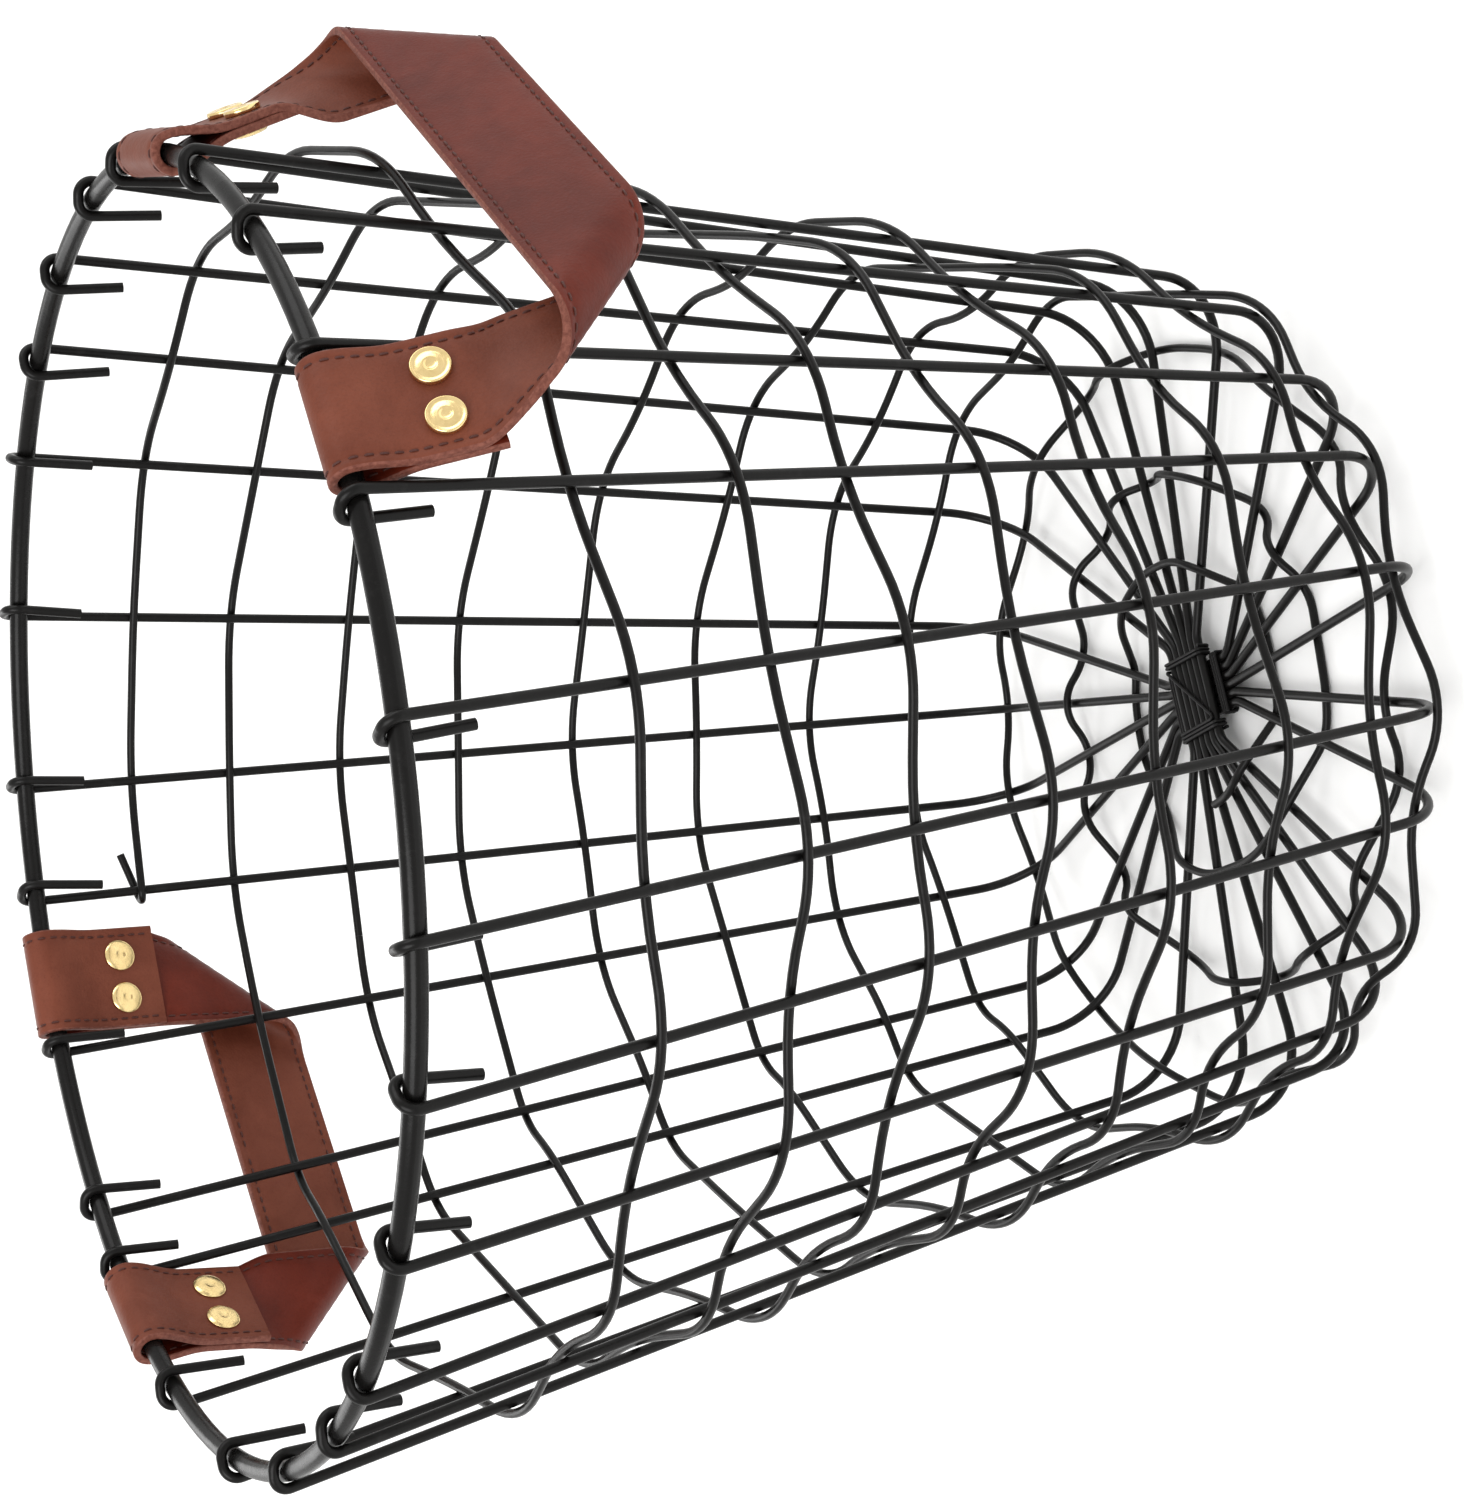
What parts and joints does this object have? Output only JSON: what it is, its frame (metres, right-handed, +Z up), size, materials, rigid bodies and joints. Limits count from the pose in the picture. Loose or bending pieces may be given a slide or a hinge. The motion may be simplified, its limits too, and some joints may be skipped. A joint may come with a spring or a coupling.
{
  "type": "wire storage basket",
  "caption": "Deep round tapered basket woven from black wire, open at the top, with leather strap handles riveted round its rim.",
  "frame": {"origin": "on the floor under the middle of the rim", "axes": "+Z up through the open mouth; the handles stand towards -Y +X and +Y -X"},
  "size_m": [0.3155, 0.3207, 0.2956],
  "materials": {
    "rim_paint": "satin black paint on heavy steel wire",
    "wire_paint": "semi-gloss black paint on thin steel wire",
    "tie_wire": "satin black binding wire",
    "leather": "reddish brown smooth leather with stitched edges",
    "thread": "dark red-brown waxed thread",
    "rivet_brass": "bright pale brass"
  },
  "bodies": {
    "basket": {"rim_wire": "rim_paint", "rib_wire_01": "wire_paint", "rib_wire_02": "wire_paint", "rib_wire_03": "wire_paint", "rib_wire_04": "wire_paint", "rib_wire_05": "wire_paint", "rib_wire_06": "wire_paint", "rib_wire_07": "wire_paint", "rib_wire_08": "wire_paint", "rib_wire_09": "wire_paint", "rib_wire_10": "wire_paint", "rib_wire_11": "wire_paint", "rib_wire_12": "wire_paint", "weaver_turn_01": "wire_paint", "weaver_turn_02": "wire_paint", "weaver_turn_03": "wire_paint", "weaver_turn_04": "wire_paint", "weaver_turn_05": "wire_paint", "weaver_turn_06": "wire_paint", "weaver_turn_07": "wire_paint", "weaver_turn_08": "wire_paint", "weaver_turn_09": "wire_paint", "weaver_turn_10": "wire_paint", "weaver_turn_11": "wire_paint", "slath_tie_x": "tie_wire", "slath_tie_y": "tie_wire"},
    "handle_a": {"handle_a_strap": "leather"},
    "handle_a_end_1_body": {"handle_a_end_1": "leather", "rivet_caps_a1": "rivet_brass", "rivet_feet_a1": "rivet_brass"},
    "handle_a_end_2_body": {"handle_a_end_2": "leather", "rivet_caps_a2": "rivet_brass", "rivet_feet_a2": "rivet_brass"},
    "handle_b": {"handle_b_strap": "leather"},
    "handle_b_end_1_body": {"handle_b_end_1": "leather", "rivet_caps_b1": "rivet_brass", "rivet_feet_b1": "rivet_brass"},
    "handle_b_end_2_body": {"handle_b_end_2": "leather", "rivet_caps_b2": "rivet_brass", "rivet_feet_b2": "rivet_brass"}
  },
  "joints": [
    {"name": "handle_a_swing", "type": "hinge", "parent": "basket", "child": "handle_a", "pos_m": [0.08829, -0.10096, 0.29], "axis": [-0.7679, -0.6406, 0], "range_deg": [-8, 170]},
    {"name": "handle_a_end_1_twist", "type": "hinge", "parent": "handle_a", "child": "handle_a_end_1_body", "pos_m": [0.13649, -0.06075, 0.29], "axis": [0.0872, -0.0407, -0.9954], "range_deg": [-3.36, 51.1], "deforming": ["handle_a_end_1"]},
    {"name": "handle_a_end_2_twist", "type": "hinge", "parent": "handle_a", "child": "handle_a_end_2_body", "pos_m": [0.04009, -0.14117, 0.29], "axis": [-0.0251, 0.0925, 0.9954], "range_deg": [-3.31, 50.16], "deforming": ["handle_a_end_2"]},
    {"name": "handle_b_swing", "type": "hinge", "parent": "basket", "child": "handle_b", "pos_m": [-0.05488, 0.1269, 0.29], "axis": [-0.9244, -0.3814, 0], "range_deg": [0, 176]},
    {"name": "handle_b_end_1_twist", "type": "hinge", "parent": "handle_b", "child": "handle_b_end_1_body", "pos_m": [-0.00785, 0.1463, 0.29], "axis": [-0.0019, 0.037, 0.9993], "range_deg": [-1, 39.95], "deforming": ["handle_b_end_1"]},
    {"name": "handle_b_end_2_twist", "type": "hinge", "parent": "handle_b", "child": "handle_b_end_2_body", "pos_m": [-0.10192, 0.10749, 0.29], "axis": [0.0249, -0.0275, -0.9993], "range_deg": [-1, 40.39], "deforming": ["handle_b_end_2"]}
  ],
  "couplings": [
    {"joint": "handle_a_end_1_twist", "follows": "handle_a_swing", "ratio": 0.29471},
    {"joint": "handle_a_end_2_twist", "follows": "handle_a_swing", "ratio": 0.28915},
    {"joint": "handle_b_end_1_twist", "follows": "handle_b_swing", "ratio": 0.22133},
    {"joint": "handle_b_end_2_twist", "follows": "handle_b_swing", "ratio": 0.2238}
  ]
}
